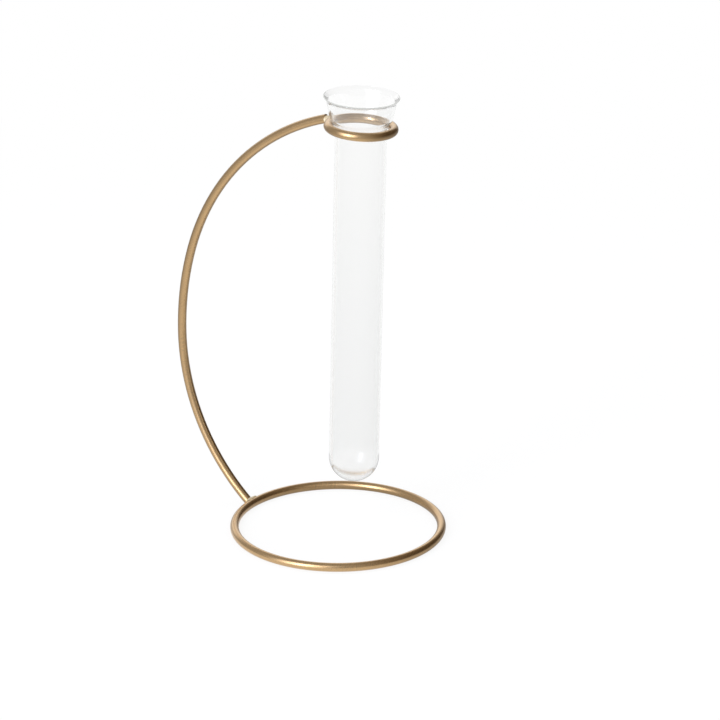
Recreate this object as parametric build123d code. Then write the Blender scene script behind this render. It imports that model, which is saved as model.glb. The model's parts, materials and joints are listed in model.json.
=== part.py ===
from build123d import *
import os
from math import acos, cos, radians, sqrt, tan

# Test tube vase: a glass tube that hangs by its flared mouth in a small wire collar.
# One bowed wire stem carries the collar on a wire ring that lies on the table.
# Millimetres, +Z up, origin at the base ring's centre on the table, stem on the -X side.

# Wire of the stand, and the ring on the table
wire_diameter = 4.4
base_ring_diameter = 104.2      # across the wire's centreline

# Collar ring: place of its centre, play round the tube, and how it sags and leans
collar_offset = 13.75           # from the base ring's axis, away from the stem
collar_height = 211.6
collar_slack = 1.05
collar_sag_angle = 3.8          # downwards, away from the stem
collar_roll_angle = 1.1         # sideways

# Stem: three arcs that meet at the bow's widest place and at its shoulder
stem_reach = 94.8               # centreline's greatest distance from the base ring's axis
widest_height_share = 0.415     # of collar_height
shoulder_height_share = 0.631   # of collar_height
shoulder_reach_share = 0.924    # of stem_reach
foot_step_share = 1.1           # of the wire's radius, outwards from the base wire's centre
head_step_share = 1.9           # of the wire's radius, outwards from the collar wire's centre
head_rise_share = 0.17          # of the wire's radius, upwards from the collar wire's centre

# Weld beads: egg-shaped, lying across the stem, one in the corner with the base ring,
# and one that fills the gap between the stem's head and the collar
base_weld_length = 9.0
base_weld_diameter = 1.6
collar_weld_length = 4.6
collar_weld_diameter = 3.6
collar_weld_place_share = 0.33  # of the way from the stem's head to the collar wire's centre

# Glass tube
tube_diameter = 25.0
tube_length = 200.0
tube_wall = 1.1
tip_thickness = 1.1
tube_lean_angle = 2.2           # away from the stem
tube_roll_angle = -1.26         # sideways, the other way from the collar

# Flare of the tube along the middle of its wall: a shoulder that rests on the collar,
# a mouth that opens slowly, and a lip that turns out
shoulder_angle = 35.0           # from the tube's axis
shoulder_spread = 2.6
mouth_rise = 9.4
mouth_spread = 1.9
lip_rise = 1.2
lip_spread = 1.45
shoulder_bend_radius = 4.0
mouth_bend_radius = 4.0
lip_bend_radius = 3.0
seat_clearance = 0.35           # shoulder to collar, a little less where the tilt brings them close

wire_radius = wire_diameter / 2
base_radius = base_ring_diameter / 2
tube_radius = tube_diameter / 2
half_wall = tube_wall / 2
collar_radius = tube_radius + collar_slack + wire_radius

# Middle and normal of the collar, centre of its wire on the stem's side, and the tube's axis
collar_centre = Vector(collar_offset, 0, collar_height)
collar_normal = Vector(tan(radians(collar_sag_angle)), tan(radians(collar_roll_angle)), 1).normalized()
collar_out = Vector(-collar_normal.Z, 0, collar_normal.X).normalized()
collar_wire_centre = collar_centre + collar_out * collar_radius
tube_axis = Vector(tan(radians(tube_lean_angle)), tan(radians(tube_roll_angle)), 1).normalized()


# Stand
def stem_arcs():
    """Centreline of the bowed stem: from its widest place down to the foot, and up to the head."""
    foot = Vector(-base_radius - wire_radius * foot_step_share, 0, wire_radius)
    widest = Vector(-stem_reach, 0, collar_height * widest_height_share)
    shoulder = Vector(-stem_reach * shoulder_reach_share, 0, collar_height * shoulder_height_share)
    head = collar_wire_centre + Vector(-head_step_share, 0, head_rise_share) * wire_radius
    lower = TangentArc(widest, foot, tangent=(0, 0, -1))
    middle = TangentArc(widest, shoulder, tangent=(0, 0, 1))
    upper = TangentArc(shoulder, head, tangent=middle % 1)
    return lower, middle, upper


def swept_wire(arcs):
    """The stand's round wire along a chain of arcs."""
    path = Wire(arcs)
    section = Plane(origin=path @ 0, z_dir=path % 0) * Circle(wire_radius)
    return sweep(section, path=path)


def weld_bead(centre, length, diameter):
    """A bead of round section that lies along Y."""
    edge = EllipticalCenterArc((0, 0), diameter / 2, length / 2, start_angle=-90, arc_size=180)
    outline = make_face([edge, Line(edge @ 1, edge @ 0)])
    return Pos(centre.X, centre.Y, centre.Z) * revolve(outline, axis=Axis.Y)


def collar_weld_centre(upper):
    """Middle of the bead between the stem's head and the collar's wire."""
    head = upper @ 1
    return head + (collar_wire_centre - head) * collar_weld_place_share


def stem_foot_corner(lower):
    """Where the upper side of the stem's foot meets the surface of the base ring."""
    along = -(lower % 1)
    across = Vector(0, 1, 0).cross(along)
    ring_wire_centre = Vector(-base_radius, 0, wire_radius)
    rise = wire_radius + (lower @ 1 - ring_wire_centre).dot(across)
    return ring_wire_centre + across * rise + along * sqrt(wire_radius**2 - rise**2)


# Glass tube, drawn as radius and height with its tip at height zero
def flare_corners():
    """Corners along the middle of the wall, from the shoulder's foot to the lip's end."""
    shoulder_rise = shoulder_spread / tan(radians(shoulder_angle))
    steps = [(shoulder_spread, shoulder_rise), (mouth_spread, mouth_rise), (lip_spread, lip_rise)]
    radius = tube_radius - half_wall
    height = tube_length - half_wall - sum(rise for spread, rise in steps)
    corners = [(radius, height)]
    for spread, rise in steps:
        radius += spread
        height += rise
        corners.append((radius, height))
    return corners


def beside(points, distance):
    """A row of points moved sideways by a distance, away from the axis if it is positive."""
    runs = [(Vector(*b) - Vector(*a)).normalized() for a, b in zip(points, points[1:])]
    moved = []
    for point, before, after in zip(points, runs[:1] + runs, runs + runs[-1:]):
        middle = (before + after).normalized()
        reach = distance / middle.dot(before)
        moved.append((point[0] + middle.Y * reach, point[1] - middle.X * reach))
    return moved


def wall_points(distance, bottom):
    """Corners of one side of the wall, from the top of its round tip to the lip's end."""
    start = (tube_radius - half_wall, bottom + tube_radius - half_wall + distance)
    return beside([start] + flare_corners(), distance)


def wall_side(distance, bottom):
    """One side of the wall: a quarter circle at the tip, then a line with round bends."""
    points = wall_points(distance, bottom)
    radius = points[0][0]
    tip = CenterArc((0, bottom + radius), radius, 270, 90)
    bends = [
        shoulder_bend_radius - distance,
        mouth_bend_radius + distance,
        lip_bend_radius - distance,
    ]
    return tip, FilletPolyline(*points, radius=bends)


def glass_tube():
    """The tube about Z: round tip, even wall and rounded rim."""
    outer_tip, outer = wall_side(half_wall, 0)
    inner_tip, inner = wall_side(-half_wall, tip_thickness)
    rim_centre = Vector(*flare_corners()[-1])
    rim = ThreePointArc(outer @ 1, rim_centre + (outer % 1) * half_wall, inner @ 1)
    glass_in_tip = Line((0, 0), (0, tip_thickness))
    outline = make_face([outer_tip, outer, rim, inner, inner_tip, glass_in_tip])
    return revolve(Plane.XZ * outline, axis=Axis.Z)


def seat_rise():
    """Height of the shoulder's foot above the collar's middle when the tube rests there."""
    slope = radians(shoulder_angle)
    gap = collar_radius - tube_radius
    level = ((wire_radius + seat_clearance) / cos(slope) - gap) / tan(slope)
    tilt = acos(collar_normal.dot(tube_axis))
    return level + (tube_radius + collar_slack) * tan(tilt)


def seated(tube):
    """The tube set in the collar, along its own leaning axis."""
    foot_height = wall_points(half_wall, 0)[1][1]
    tip = collar_centre + tube_axis * (seat_rise() - foot_height)
    return Plane(origin=tip, z_dir=tube_axis) * tube


def build():
    """Every piece of the vase by name."""
    base_ring = Pos(0, 0, wire_radius) * Torus(base_radius, wire_radius)
    collar_ring = Plane(origin=collar_centre, z_dir=collar_normal) * Torus(collar_radius, wire_radius)
    arcs = stem_arcs()
    stem = swept_wire(arcs) - base_ring - collar_ring
    base_weld = weld_bead(stem_foot_corner(arcs[0]), base_weld_length, base_weld_diameter)
    collar_weld = weld_bead(collar_weld_centre(arcs[2]), collar_weld_length, collar_weld_diameter)
    return {
        "base_ring": base_ring,
        "curved_stem": stem,
        "collar_ring": collar_ring,
        "base_weld": base_weld - base_ring - stem,
        "collar_weld": collar_weld - collar_ring - stem,
        "test_tube": seated(glass_tube()),
    }


pieces = build()
os.makedirs("parts", exist_ok=True)
for name, piece in pieces.items():
    piece.label = name
    export_step(piece, f"parts/{name}.step")
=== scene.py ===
import json
import math

import bmesh
import bpy
from mathutils import Matrix, Vector, noise
from mathutils.bvhtree import BVHTree


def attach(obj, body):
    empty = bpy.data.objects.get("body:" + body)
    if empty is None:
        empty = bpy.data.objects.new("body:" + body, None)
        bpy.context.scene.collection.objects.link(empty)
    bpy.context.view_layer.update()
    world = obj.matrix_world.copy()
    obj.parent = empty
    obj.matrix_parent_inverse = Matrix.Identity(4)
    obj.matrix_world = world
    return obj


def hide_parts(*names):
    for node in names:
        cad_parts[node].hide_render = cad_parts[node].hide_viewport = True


# Test tube vase: a clear tube hangs by its flared mouth in the collar of a satin gold wire stand.
# Metres, +Z up, origin at the base ring's centre on the table.

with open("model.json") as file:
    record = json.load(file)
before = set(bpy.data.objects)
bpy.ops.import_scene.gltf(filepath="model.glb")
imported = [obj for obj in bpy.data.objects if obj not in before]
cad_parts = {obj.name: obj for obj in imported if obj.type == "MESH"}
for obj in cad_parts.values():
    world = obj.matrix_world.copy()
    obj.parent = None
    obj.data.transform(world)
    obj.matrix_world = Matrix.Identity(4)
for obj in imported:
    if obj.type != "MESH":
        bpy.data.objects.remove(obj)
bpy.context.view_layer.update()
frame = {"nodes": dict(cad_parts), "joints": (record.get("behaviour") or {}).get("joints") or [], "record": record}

MM = 0.001

# Camera
CAMERA_AZIMUTH = 32.887
CAMERA_ELEVATION = 20.255
CAMERA_DISTANCE = 1.49625
CAMERA_TARGET = Vector((-0.00671, 0.03072, 0.07978))
CAMERA_LENS = 148.48
CAMERA_CLIP = (0.05, 50.0)
SENSOR_WIDTH = 36.0

# Studio light: a soft box on the camera's left with a brighter middle
KEY_AZIMUTH = CAMERA_AZIMUTH - 39.0
KEY_ELEVATION = 23.0
KEY_DISTANCE = 2.5
KEY_TARGET = Vector((0.0, 0.0, 0.1))
KEY_BOX = (2.3, 2.7, 27.0)      # width, height, power
KEY_MIDDLE = (0.64, 1.9, 17.0)
KEY_MIDDLE_STEP = 0.02          # how far the middle stands in front of the box
KEY_COLOUR = (0.95, 1.0, 1.15)

# Room: limits count how far a ray points towards an azimuth, from -1 to 1
WHITE = (1.0, 1.0, 1.0)
ROOM_LEVEL = 0.92               # for rays that light the floor
DARK_AZIMUTH = CAMERA_AZIMUTH + 115.0
DARK_LIMITS = (-0.2, 0.95)
DARK_TONE = (1.0, 0.74, 0.42)
BRIGHT_SIDE = 0.40              # for rays that mirrors send
DARK_SIDE = 0.07
BACKDROP_AZIMUTH = CAMERA_AZIMUTH - 168.0
BACKDROP_LIMITS = (0.68, 0.92)
BACKDROP_RISE = (-0.05, 0.35)   # heights between which the backdrop brightens
BACKDROP_LEVELS = (0.4, 1.3)
BACKDROP_FADE = (0.55, 0.88)    # heights between which it fades
BACKDROP_TOP_SHARE = 0.3
CEILING_RISE = (0.45, 0.85)     # heights between which the ceiling begins
GLASS_CEILING = 0.35            # for rays that leave glass upwards
GLANCED_SHARE = 0.75            # of the mirrored level, for rays that pass the glass after a mirror
GLANCED_WALLS = 5.5             # faces of the glass that such rays pass at least

# Floor: levels are what mirrors show
FLOOR_RADIUS = 6.0
FLOOR_SEGMENTS = 96
FLOOR_PAINT = (0.95, 0.95, 0.95, 1.0)
FLOOR_GLOW_SHARE = 0.86         # near the stand, where the shadow stays
SHADOW_FADE = (0.25, 0.8)       # distances between which the glow takes over
FLOOR_LIMITS = (-0.3, 0.9)
FLOOR_LEVELS = (0.36, 0.86)     # on the dark side and towards the key
FLOOR_FADE = (0.07, 0.42)       # distances between which those levels drop to the far floor's
FAR_FLOOR_SHARE = 0.6
FAR_BACKDROP_LEVEL = 0.5
BEHIND_LIMITS = (0.0, 0.7)      # towards the backdrop, where sharp mirrors show it white

# Gold under lacquer: a pair of tones is the darkest and the lightest
CLOUD_SCALE = 160.0
CLOUD_DETAIL = 4.0
CLOUD_LIMITS = (0.35, 0.65)
GRAIN_DETAIL = 3.0
GRAIN_SOFTNESS = 0.6
GRAIN_DEPTH = 0.04 * MM
GRAIN_LIMITS = (0.25, 0.75)
SPECK_LIMITS = (0.3, 0.7)
SPECK_TONES = ((0.95, 0.95, 0.95), (1.04, 1.04, 1.04))
LACQUER_ROUGHNESS = 0.32
LACQUER_IOR = 2.35
GOLD_FINISH = {
    "grain_scale": 3200.0,
    "grain_strength": 0.3,
    "tones": ((0.575, 0.318, 0.066), (0.62, 0.348, 0.08)),
    "roughness_limits": (0.25, 0.32),
    "metallic": 1.0,
}
# The welds' pale cream tones and lower metallic are a painted highlight: lighter than the wire's gold where the
# weld catches the light
WELD_FINISH_PAINTED_HIGHLIGHT = {
    "grain_scale": 1800.0,
    "grain_strength": 0.4,
    "tones": ((0.82, 0.66, 0.40), (0.88, 0.73, 0.47)),
    "roughness_limits": (0.5, 0.6),
    "metallic": 0.45,
}

# Glass: heights are above the floor
GLASS_IOR = 1.47
# The glass's faint grey is painted darker towards the bottom: painted shade
GLASS_TINTS_PAINTED_SHADE = ((0.938, 0.939, 0.937), (0.995, 0.995, 0.995))
PAINTED_SHADE_HEIGHTS = (0.01, 0.26)     # from the darkest, painted shade at the bottom, to the lightest tint
TIP_HEIGHTS = (0.035, 0.043)    # where the blown tip's soft skin and its painted light end
TIP_ROUGHNESS = 0.13
TIP_PAINTED_LIGHT = 0.9             # painted light at the tip: how far its tint is lifted from the darkest towards the lightest
WAVE_SCALE = 90.0
WAVE_DETAIL = 2.0
WAVE_TINT_SHARE = 0.06
WAVE_STRENGTH = 0.15
WAVE_DEPTH = 0.05 * MM
WALL_TINT = (0.5, 0.51, 0.5, 1.0)
WALL_DENSITY = 110.0
# A painted glow in the glass wall: it shines by itself, standing in for light scattered inside the glass
PAINTED_GLOW_TINT = (1.0, 1.0, 0.99, 1.0)
PAINTED_GLOW_STRENGTH = 49.0

# Weld beads: how far each flows past its CAD bead, and how softly
BASE_WELD_MARGIN = 0.12 * MM
COLLAR_WELD_MARGIN = 0.6 * MM
WELD_BLEND = 1.4 * MM
WELD_SINK = 0.08 * MM
WELD_RIPPLE = 0.04 * MM
WELD_RIPPLE_SIZE = 1.3 * MM
WELD_STEPS = 96
WELD_REACH_STEPS = 30
WELD_HALVINGS = 8

# Glass tube: radius and height along its own axis, tip at zero
TUBE_RADIUS = 12.5 * MM
TUBE_LENGTH = 200.0 * MM
TUBE_WALL = 1.1 * MM
TUBE_TIP_THICKNESS = 1.1 * MM
BORE_MIDDLE = 98.188 * MM
SHOULDER_STEP = (2.6 * MM, 3.713 * MM)
MOUTH_STEP = (1.9 * MM, 9.4 * MM)
LIP_STEP = (1.45 * MM, 1.2 * MM)
FLARE_BENDS = (4.0 * MM, 4.0 * MM, 3.0 * MM)
BEND_STEPS = 8
TIP_STEPS = 24
RIM_STEPS = 10
LIP_SHARE = 0.6                 # of the wall's thickness, left at the flame-drawn lip
LIP_REACH = 0.2 * MM
SIDE_STEP = 4.0 * MM
ROUND_STEPS = 192
MOUTH_TILT = 0.9                # degrees, its side on the camera's right is lower
MOUTH_START = 184.0 * MM

# Colour sockets of the mix node
MIX_FIRST = 6
MIX_SECOND = 7
MIX_RESULT = 2


# Directions and small helpers for node materials
def direction(azimuth, elevation):
    """Unit vector from the object, azimuth 0 at -Y and 90 at +X."""
    a = math.radians(azimuth)
    e = math.radians(elevation)
    return Vector((math.sin(a) * math.cos(e), -math.cos(a) * math.cos(e), math.sin(e)))


def new_material(name):
    """A material with an empty node tree."""
    material = bpy.data.materials.new(name)
    material.use_nodes = True
    material.node_tree.nodes.clear()
    return material, material.node_tree


def node(tree, kind, values=None, **settings):
    """A node with its settings, and its input sockets set or linked."""
    made = tree.nodes.new(kind)
    for key, value in settings.items():
        setattr(made, key, value)
    for key, value in (values or {}).items():
        if isinstance(value, bpy.types.NodeSocket):
            tree.links.new(value, made.inputs[key])
        else:
            made.inputs[key].default_value = value
    return made


def math_node(tree, operation, *values, clamp=False):
    """The result of a math node."""
    return node(
        tree, "ShaderNodeMath", dict(enumerate(values)), operation=operation, use_clamp=clamp
    ).outputs[0]


def smooth_step(tree, value, low, high, out_low=0.0, out_high=1.0):
    """A smooth step of a value between two limits."""
    return node(
        tree,
        "ShaderNodeMapRange",
        {"Value": value, "From Min": low, "From Max": high, "To Min": out_low, "To Max": out_high},
        interpolation_type="SMOOTHSTEP",
    ).outputs["Result"]


def ramp(tree, value, *stops):
    """A colour ramp between two (position, colour) stops."""
    made = node(tree, "ShaderNodeValToRGB", {"Fac": value})
    for element, (position, colour) in zip(made.color_ramp.elements, stops):
        element.position = position
        element.color = (*colour, 1.0)
    return made.outputs["Color"]


def towards(tree, place, azimuth):
    """How far a place or ray points towards an azimuth, from -1 to 1."""
    made = node(
        tree,
        "ShaderNodeVectorMath",
        {0: place, 1: direction(azimuth, 0.0)},
        operation="DOT_PRODUCT",
    )
    return made.outputs["Value"]


def mix_value(tree, share, first, second):
    """A value between two others."""
    return node(
        tree, "ShaderNodeMix", {"Factor": share, "A": first, "B": second}, data_type="FLOAT"
    ).outputs["Result"]


def seen_ray(tree):
    """One for rays that show the background: camera, glossy and transmission rays."""
    path = node(tree, "ShaderNodeLightPath").outputs
    either = math_node(tree, "MAXIMUM", path["Is Camera Ray"], path["Is Glossy Ray"])
    return math_node(tree, "MAXIMUM", either, path["Is Transmission Ray"])


def mirror_ray(tree):
    """One for rays that a mirroring surface sends, and less for those that leave glass later."""
    path = node(tree, "ShaderNodeLightPath").outputs
    through = path["Is Transmission Ray"]
    mirrored = math_node(tree, "SUBTRACT", path["Is Glossy Ray"], through, clamp=True)
    glanced = math_node(tree, "MINIMUM", path["Glossy Depth"], GLANCED_SHARE)
    deep = math_node(tree, "GREATER_THAN", path["Transmission Depth"], GLANCED_WALLS)
    glanced = math_node(tree, "MULTIPLY", glanced, math_node(tree, "MULTIPLY", deep, through))
    return math_node(tree, "MAXIMUM", mirrored, glanced)


# Materials
def gold_material(name, grain_scale, grain_strength, tones, roughness_limits, metallic):
    """Satin gold under clear lacquer, with a fine grain and a slightly uneven tone."""
    material, tree = new_material(name)
    place = node(tree, "ShaderNodeTexCoord").outputs["Object"]
    cloud = node(
        tree,
        "ShaderNodeTexNoise",
        {"Vector": place, "Scale": CLOUD_SCALE, "Detail": CLOUD_DETAIL},
    ).outputs["Fac"]
    grain = node(
        tree,
        "ShaderNodeTexNoise",
        {
            "Vector": place,
            "Scale": grain_scale,
            "Detail": GRAIN_DETAIL,
            "Roughness": GRAIN_SOFTNESS,
        },
    ).outputs["Fac"]
    tone = ramp(tree, cloud, *zip(CLOUD_LIMITS, tones))
    speck = ramp(tree, grain, *zip(SPECK_LIMITS, SPECK_TONES))
    colour = node(
        tree,
        "ShaderNodeMix",
        {"Factor": 1.0, MIX_FIRST: tone, MIX_SECOND: speck},
        data_type="RGBA",
        blend_type="MULTIPLY",
    ).outputs[MIX_RESULT]
    roughness = smooth_step(tree, grain, *GRAIN_LIMITS, *roughness_limits)
    bump = node(
        tree,
        "ShaderNodeBump",
        {"Strength": grain_strength, "Distance": GRAIN_DEPTH, "Height": grain},
    )
    shader = node(
        tree,
        "ShaderNodeBsdfPrincipled",
        {
            "Base Color": colour,
            "Metallic": metallic,
            "Roughness": roughness,
            "Coat Weight": 1.0,
            "Coat Roughness": LACQUER_ROUGHNESS,
            "Coat IOR": LACQUER_IOR,
            "Normal": bump.outputs["Normal"],
        },
    )
    node(tree, "ShaderNodeOutputMaterial", {"Surface": shader.outputs["BSDF"]})
    return material


def glass_material():
    """Clear glass with a trace of grey, painted shade towards the bottom, a faint painted glow in its wall and a
    softer tip skin painted lighter.
    """
    material, tree = new_material("clear_glass_look")
    place = node(tree, "ShaderNodeTexCoord").outputs["Object"]
    waves = node(
        tree, "ShaderNodeTexNoise", {"Vector": place, "Scale": WAVE_SCALE, "Detail": WAVE_DETAIL}
    ).outputs["Fac"]
    height = node(tree, "ShaderNodeSeparateXYZ", {"Vector": place}).outputs["Z"]
    # Painted shade: the glass is darker towards the bottom
    share = smooth_step(tree, height, *PAINTED_SHADE_HEIGHTS)
    share = math_node(tree, "ADD", share, math_node(tree, "MULTIPLY", waves, WAVE_TINT_SHARE))
    # Painted light: the tip is painted lighter
    tip_painted_light = smooth_step(tree, height, *TIP_HEIGHTS, TIP_PAINTED_LIGHT, 0.0)
    share = math_node(tree, "ADD", share, tip_painted_light)
    tint_with_painted_shade_and_light = ramp(tree, share, (0.0, GLASS_TINTS_PAINTED_SHADE[0]), (1.0, GLASS_TINTS_PAINTED_SHADE[1]))
    bump = node(
        tree,
        "ShaderNodeBump",
        {"Strength": WAVE_STRENGTH, "Distance": WAVE_DEPTH, "Height": waves},
    )
    shader = node(
        tree,
        "ShaderNodeBsdfPrincipled",
        {
            "Base Color": tint_with_painted_shade_and_light,
            "Roughness": smooth_step(tree, height, *TIP_HEIGHTS, TIP_ROUGHNESS, 0.0),
            "IOR": GLASS_IOR,
            "Transmission Weight": 1.0,
            "Normal": bump.outputs["Normal"],
        },
    )
    depth = node(
        tree, "ShaderNodeVolumeAbsorption", {"Color": WALL_TINT, "Density": WALL_DENSITY}
    )
    # Painted glow that stands in for light scattered in the wall
    painted_glow = node(tree, "ShaderNodeEmission", {"Color": PAINTED_GLOW_TINT, "Strength": PAINTED_GLOW_STRENGTH})
    volume = node(
        tree, "ShaderNodeAddShader", {0: depth.outputs["Volume"], 1: painted_glow.outputs["Emission"]}
    )
    node(
        tree,
        "ShaderNodeOutputMaterial",
        {"Surface": shader.outputs["BSDF"], "Volume": volume.outputs["Shader"]},
    )
    return material


def floor_material():
    """White floor that glows for rays that show the background, and keeps the stand's shadow."""
    material, tree = new_material("floor_white")
    place = node(tree, "ShaderNodeTexCoord").outputs["Object"]
    distance = node(tree, "ShaderNodeVectorMath", {0: place}, operation="LENGTH").outputs["Value"]
    outwards = node(tree, "ShaderNodeVectorMath", {0: place}, operation="NORMALIZE")
    outwards = outwards.outputs["Vector"]
    lit = towards(tree, outwards, KEY_AZIMUTH)
    level = smooth_step(tree, lit, *FLOOR_LIMITS, *FLOOR_LEVELS)
    far = math_node(tree, "MULTIPLY", level, FAR_FLOOR_SHARE)
    rear = towards(tree, outwards, BACKDROP_AZIMUTH)
    backdrop = smooth_step(tree, rear, *BACKDROP_LIMITS)
    backdrop = math_node(tree, "MULTIPLY", backdrop, FAR_BACKDROP_LEVEL)
    far = math_node(tree, "MAXIMUM", far, backdrop)
    mirrored = mix_value(tree, smooth_step(tree, distance, *FLOOR_FADE), level, far)
    sharp = node(tree, "ShaderNodeLightPath").outputs["Is Singular Ray"]
    behind = smooth_step(tree, rear, *BEHIND_LIMITS)
    mirrored = math_node(tree, "MAXIMUM", mirrored, math_node(tree, "MULTIPLY", sharp, behind))
    strength = mix_value(tree, mirror_ray(tree), 1.0, mirrored)
    paint = node(tree, "ShaderNodeBsdfDiffuse", {"Color": FLOOR_PAINT})
    glow = node(tree, "ShaderNodeEmission", {"Color": (*WHITE, 1.0), "Strength": strength})
    glow_share = smooth_step(tree, distance, *SHADOW_FADE, FLOOR_GLOW_SHARE, 1.0)
    share = math_node(tree, "MULTIPLY", seen_ray(tree), glow_share)
    mixed = node(
        tree,
        "ShaderNodeMixShader",
        {0: share, 1: paint.outputs["BSDF"], 2: glow.outputs["Emission"]},
    )
    node(tree, "ShaderNodeOutputMaterial", {"Surface": mixed.outputs["Shader"]})
    return material


# Glass tube
def round_corner(before, corner, after, radius):
    """Points of a round bend at a corner."""
    into = (before - corner).normalized()
    out = (after - corner).normalized()
    half = into.angle(out) / 2
    middle = corner + (into + out).normalized() * (radius / math.sin(half))
    start = corner + into * (radius / math.tan(half)) - middle
    turn = (math.pi - 2 * half) * math.copysign(1.0, into.cross(out))
    points = []
    for i in range(BEND_STEPS + 1):
        arm = start.copy()
        arm.rotate(Matrix.Rotation(-turn * i / BEND_STEPS, 2))
        points.append(middle + arm)
    return points


def beside(points, distance):
    """A row of points moved sideways, away from the axis if the distance is positive."""
    runs = [(b - a).normalized() for a, b in zip(points, points[1:])]
    moved = []
    for point, before, after in zip(points, runs[:1] + runs, runs + runs[-1:]):
        middle = (before + after).normalized()
        reach = distance / middle.dot(before)
        moved.append(point + Vector((middle.y, -middle.x)) * reach)
    return moved


def flare_corners():
    """Corners along the middle of the wall, from the shoulder's foot to the lip's end."""
    steps = (SHOULDER_STEP, MOUTH_STEP, LIP_STEP)
    half = TUBE_WALL / 2
    corner = Vector((TUBE_RADIUS - half, TUBE_LENGTH - half - sum(step[1] for step in steps)))
    corners = [corner]
    for step in steps:
        corner = corner + Vector(step)
        corners.append(corner)
    return corners


def lip_end(corners):
    """Middle of the rim, a little past the last corner."""
    return corners[-1] + (corners[-1] - corners[-2]).normalized() * LIP_REACH


def wall_side(distance, bottom):
    """One side of the wall from the middle of its tip to its rim, as radius and height."""
    corners = flare_corners()
    radius = TUBE_RADIUS - TUBE_WALL / 2 + distance
    start = Vector((TUBE_RADIUS - TUBE_WALL / 2, bottom + radius))
    points = beside([start] + corners, distance)
    points[-1] = lip_end(corners) + (points[-1] - corners[-1]) * LIP_SHARE
    side = []
    for i in range(TIP_STEPS + 1):
        angle = math.pi / 2 * i / TIP_STEPS
        side.append(Vector((math.sin(angle) * radius, bottom + radius - math.cos(angle) * radius)))
    bends = (FLARE_BENDS[0] - distance, FLARE_BENDS[1] + distance, FLARE_BENDS[2] - distance)
    rounded = []
    for i, radius_here in enumerate(bends, start=1):
        rounded += round_corner(points[i - 1], points[i], points[i + 1], radius_here)
    straight = rounded[0] - side[-1]
    count = max(1, int(straight.length / SIDE_STEP))
    side += [side[-1] + straight * (i / count) for i in range(1, count)]
    return side + rounded + [points[-1]]


def tube_profile():
    """Outline of the glass from the outer tip, up, over the rim and down to the inner tip."""
    half = TUBE_WALL / 2
    outer = wall_side(half, 0.0)
    inner = wall_side(-half, TUBE_TIP_THICKNESS)
    middle = lip_end(flare_corners())
    start = outer[-1] - middle
    top = Vector((-start.y, start.x))
    rim = []
    for i in range(1, 2 * RIM_STEPS):
        angle = math.pi * i / (2 * RIM_STEPS)
        rim.append(middle + start * math.cos(angle) + top * math.sin(angle))
    return outer + rim + inner[::-1]


def revolve(name, profile, matrix, steps):
    """A closed mesh from an outline that starts and ends on the axis."""
    mesh = bpy.data.meshes.new(name)
    build = bmesh.new()
    rings = []
    for point in profile[1:-1]:
        ring = []
        for i in range(steps):
            angle = 2 * math.pi * i / steps
            place = Vector((point.x * math.cos(angle), point.x * math.sin(angle), point.y))
            ring.append(build.verts.new(matrix @ place))
        rings.append(ring)
    first = build.verts.new(matrix @ Vector((0.0, 0.0, profile[0].y)))
    last = build.verts.new(matrix @ Vector((0.0, 0.0, profile[-1].y)))
    for i in range(steps):
        j = (i + 1) % steps
        build.faces.new((first, rings[0][j], rings[0][i]))
        build.faces.new((last, rings[-1][i], rings[-1][j]))
        for low, high in zip(rings, rings[1:]):
            build.faces.new((low[i], low[j], high[j], high[i]))
    bmesh.ops.recalc_face_normals(build, faces=build.faces)
    for face in build.faces:
        face.smooth = True
    build.to_mesh(mesh)
    build.free()
    made = bpy.data.objects.new(name, mesh)
    bpy.context.scene.collection.objects.link(made)
    return made


def tube_matrix():
    """Where the tube hangs: along the lift's axis, through the middle of its bore."""
    lift = frame["joints"][0]
    axis = Vector(lift["axis"]).normalized()
    bore = next(m for m in frame["record"]["mounts"] if m["name"] == "tube_bore")
    tip = Vector(bore["pos_m"]) - axis * BORE_MIDDLE
    return Matrix.Translation(tip) @ axis.to_track_quat("Z", "Y").to_matrix().to_4x4()


def tilt_mouth(mesh, matrix):
    """The flame-shaped mouth isn't quite square to the tube."""
    side = direction(CAMERA_AZIMUTH + 90.0, 0.0)
    axis = matrix.to_3x3() @ Vector((0.0, 0.0, 1.0))
    for vertex in mesh.vertices:
        out = vertex.co - matrix.translation
        height = out.dot(axis)
        share = min(1.0, max(0.0, (height - MOUTH_START) / (TUBE_LENGTH - MOUTH_START)))
        drop = (out - axis * height).dot(side) * math.tan(math.radians(MOUTH_TILT))
        vertex.co -= axis * (drop * share * share * (3 - 2 * share))


def make_tube():
    """The glass tube."""
    matrix = tube_matrix()
    tube = revolve("glass_tube", tube_profile(), matrix, ROUND_STEPS)
    tilt_mouth(tube.data, matrix)
    tube.data.materials.append(glass_material())
    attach(tube, "tube")
    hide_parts("test_tube")


def signed_distance(solid):
    """A function that gives the distance to a closed mesh, negative inside it."""
    build = bmesh.new()
    build.from_mesh(solid.data)
    build.transform(solid.matrix_world)
    tree = BVHTree.FromBMesh(build)
    build.free()

    def distance(point):
        place, normal, index, length = tree.find_nearest(point)
        return math.copysign(length, (point - place).dot(normal))

    return distance


def smooth_least(first, second, blend):
    """The smaller of two distances, rounded off where they are nearly equal."""
    share = max(0.0, blend - abs(first - second)) / blend
    return min(first, second) - share * share * blend / 4


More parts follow.
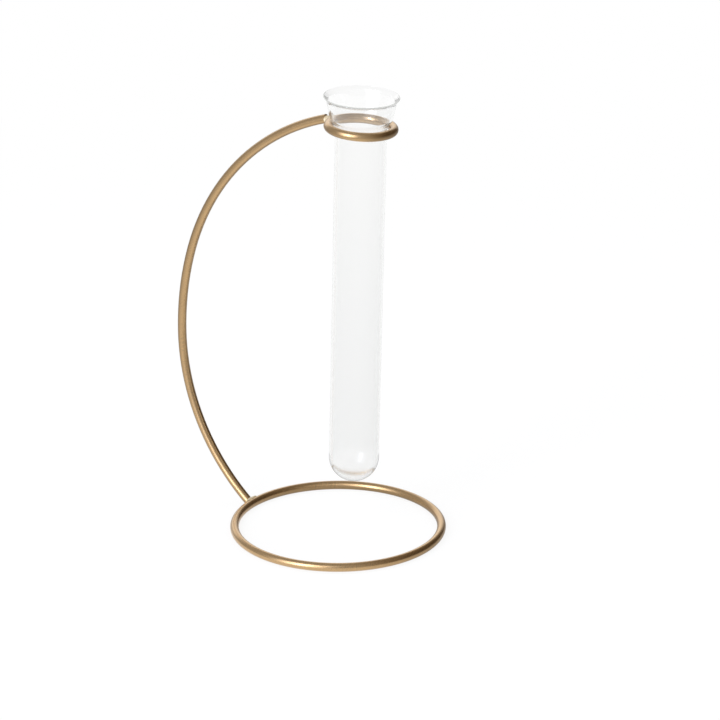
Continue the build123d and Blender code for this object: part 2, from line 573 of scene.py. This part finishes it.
def make_weld(name, bead, wires, margin, material):
    """A bead that flows into the wires it joins, as the surface that rays from its middle meet."""
    solids = [signed_distance(solid) for solid in wires]
    kernel = signed_distance(bead)
    corners = [bead.matrix_world @ Vector(corner) for corner in bead.bound_box]
    middle = sum(corners, Vector()) / len(corners)
    halves = [max(corner[i] for corner in corners) - middle[i] for i in range(3)]
    egg = [half + margin for half in halves]

    def depth(point):
        joined = smooth_least(solids[0](point), solids[1](point), WELD_BLEND)
        ripple = noise.noise(point / WELD_RIPPLE_SIZE) * WELD_RIPPLE
        return smooth_least(joined + WELD_SINK, kernel(point) + ripple, WELD_BLEND)

    def surface(way):
        limit = 1 / math.sqrt(sum((share / half) ** 2 for share, half in zip(way, egg)))
        reach = 0.0
        step = limit / WELD_REACH_STEPS
        while reach < limit and depth(middle + way * reach) < 0.0:
            reach += step
        low, high = max(0.0, reach - step), min(reach, limit)
        for i in range(WELD_HALVINGS):
            half = (low + high) / 2
            if depth(middle + way * half) < 0.0:
                low = half
            else:
                high = half
        return middle + way * high

    mesh = bpy.data.meshes.new(name)
    build = bmesh.new()
    bmesh.ops.create_uvsphere(build, u_segments=WELD_STEPS, v_segments=WELD_STEPS // 2, radius=1.0)
    for vertex in build.verts:
        vertex.co = surface(vertex.co.normalized())
    bmesh.ops.recalc_face_normals(build, faces=build.faces)
    for face in build.faces:
        face.smooth = True
    build.to_mesh(mesh)
    build.free()
    weld = bpy.data.objects.new(name, mesh)
    bpy.context.scene.collection.objects.link(weld)
    weld.data.materials.append(material)
    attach(weld, "stand")
    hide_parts(bead.name)


def make_stand():
    """The stand's wires keep their shape and get the gold finish; the welds flow into them."""
    gold = gold_material("satin_gold_look", **GOLD_FINISH)
    # The welds' pale cream is a painted highlight
    bead = gold_material("weld_painted_highlight_look", **WELD_FINISH_PAINTED_HIGHLIGHT)
    nodes = frame["nodes"]
    for name in ("base_ring", "curved_stem", "collar_ring"):
        nodes[name].data.materials[0] = gold
    stem = nodes["curved_stem"]
    foot = (nodes["base_ring"], stem)
    head = (nodes["collar_ring"], stem)
    make_weld("base_weld_bead", nodes["base_weld"], foot, BASE_WELD_MARGIN, bead)
    make_weld("collar_weld_bead", nodes["collar_weld"], head, COLLAR_WELD_MARGIN, bead)


# Stage
def make_floor():
    """A round white floor."""
    mesh = bpy.data.meshes.new("floor")
    build = bmesh.new()
    bmesh.ops.create_circle(build, cap_ends=True, radius=FLOOR_RADIUS, segments=FLOOR_SEGMENTS)
    build.to_mesh(mesh)
    build.free()
    floor = bpy.data.objects.new("floor", mesh)
    bpy.context.scene.collection.objects.link(floor)
    floor.data.materials.append(floor_material())


def make_world():
    """White room: white to the camera and behind glass, dimmer in mirrors and as a light."""
    world = bpy.data.worlds.new("studio")
    bpy.context.scene.world = world
    world.use_nodes = True
    tree = world.node_tree
    tree.nodes.clear()
    path = node(tree, "ShaderNodeLightPath").outputs
    place = node(tree, "ShaderNodeTexCoord").outputs["Generated"]
    height = node(tree, "ShaderNodeSeparateXYZ", {"Vector": place}).outputs["Z"]
    backdrop = smooth_step(tree, towards(tree, place, BACKDROP_AZIMUTH), *BACKDROP_LIMITS)
    rise = smooth_step(tree, height, *BACKDROP_RISE, *BACKDROP_LEVELS)
    fade = smooth_step(tree, height, *BACKDROP_FADE, 1.0, BACKDROP_TOP_SHARE)
    backdrop = math_node(tree, "MULTIPLY", backdrop, math_node(tree, "MULTIPLY", rise, fade))
    dark = towards(tree, place, DARK_AZIMUTH)
    side = smooth_step(tree, dark, *DARK_LIMITS, BRIGHT_SIDE, DARK_SIDE)
    mirrored = math_node(tree, "MAXIMUM", backdrop, side)
    through = smooth_step(tree, height, *CEILING_RISE, 1.0, GLASS_CEILING)
    level = mix_value(tree, path["Is Transmission Ray"], ROOM_LEVEL, through)
    level = mix_value(tree, mirror_ray(tree), level, mirrored)
    level = math_node(tree, "MAXIMUM", level, path["Is Camera Ray"])
    pale = math_node(tree, "SUBTRACT", 1.0, mirror_ray(tree))
    pale = math_node(tree, "MAXIMUM", pale, smooth_step(tree, mirrored, DARK_SIDE, BRIGHT_SIDE))
    colour = ramp(tree, pale, (0.0, DARK_TONE), (1.0, WHITE))
    background = node(tree, "ShaderNodeBackground", {"Color": colour, "Strength": level})
    node(tree, "ShaderNodeOutputWorld", {"Surface": background.outputs["Background"]})


def make_lamp(name, width, height, power, distance):
    """A soft box that faces the object."""
    data = bpy.data.lights.new(name, "AREA")
    data.shape = "RECTANGLE"
    data.size = width
    data.size_y = height
    data.energy = power
    data.color = KEY_COLOUR
    lamp = bpy.data.objects.new(name, data)
    back = direction(KEY_AZIMUTH, KEY_ELEVATION)
    lamp.location = KEY_TARGET + back * distance
    lamp.rotation_mode = "QUATERNION"
    lamp.rotation_quaternion = (-back).to_track_quat("-Z", "Y")
    bpy.context.scene.collection.objects.link(lamp)


def make_camera():
    """The photograph's camera."""
    data = bpy.data.cameras.new("camera")
    data.lens = CAMERA_LENS
    data.sensor_width = SENSOR_WIDTH
    data.clip_start, data.clip_end = CAMERA_CLIP
    camera = bpy.data.objects.new("camera", data)
    back = direction(CAMERA_AZIMUTH, CAMERA_ELEVATION)
    camera.location = CAMERA_TARGET + back * CAMERA_DISTANCE
    camera.rotation_mode = "QUATERNION"
    camera.rotation_quaternion = (-back).to_track_quat("-Z", "Y")
    bpy.context.scene.collection.objects.link(camera)
    bpy.context.scene.camera = camera


bpy.context.scene.view_settings.view_transform = "Standard"
make_camera()
make_world()
make_lamp("key_box", *KEY_BOX, KEY_DISTANCE)
make_lamp("key_middle", *KEY_MIDDLE, KEY_DISTANCE - KEY_MIDDLE_STEP)
make_floor()
make_stand()
make_tube()
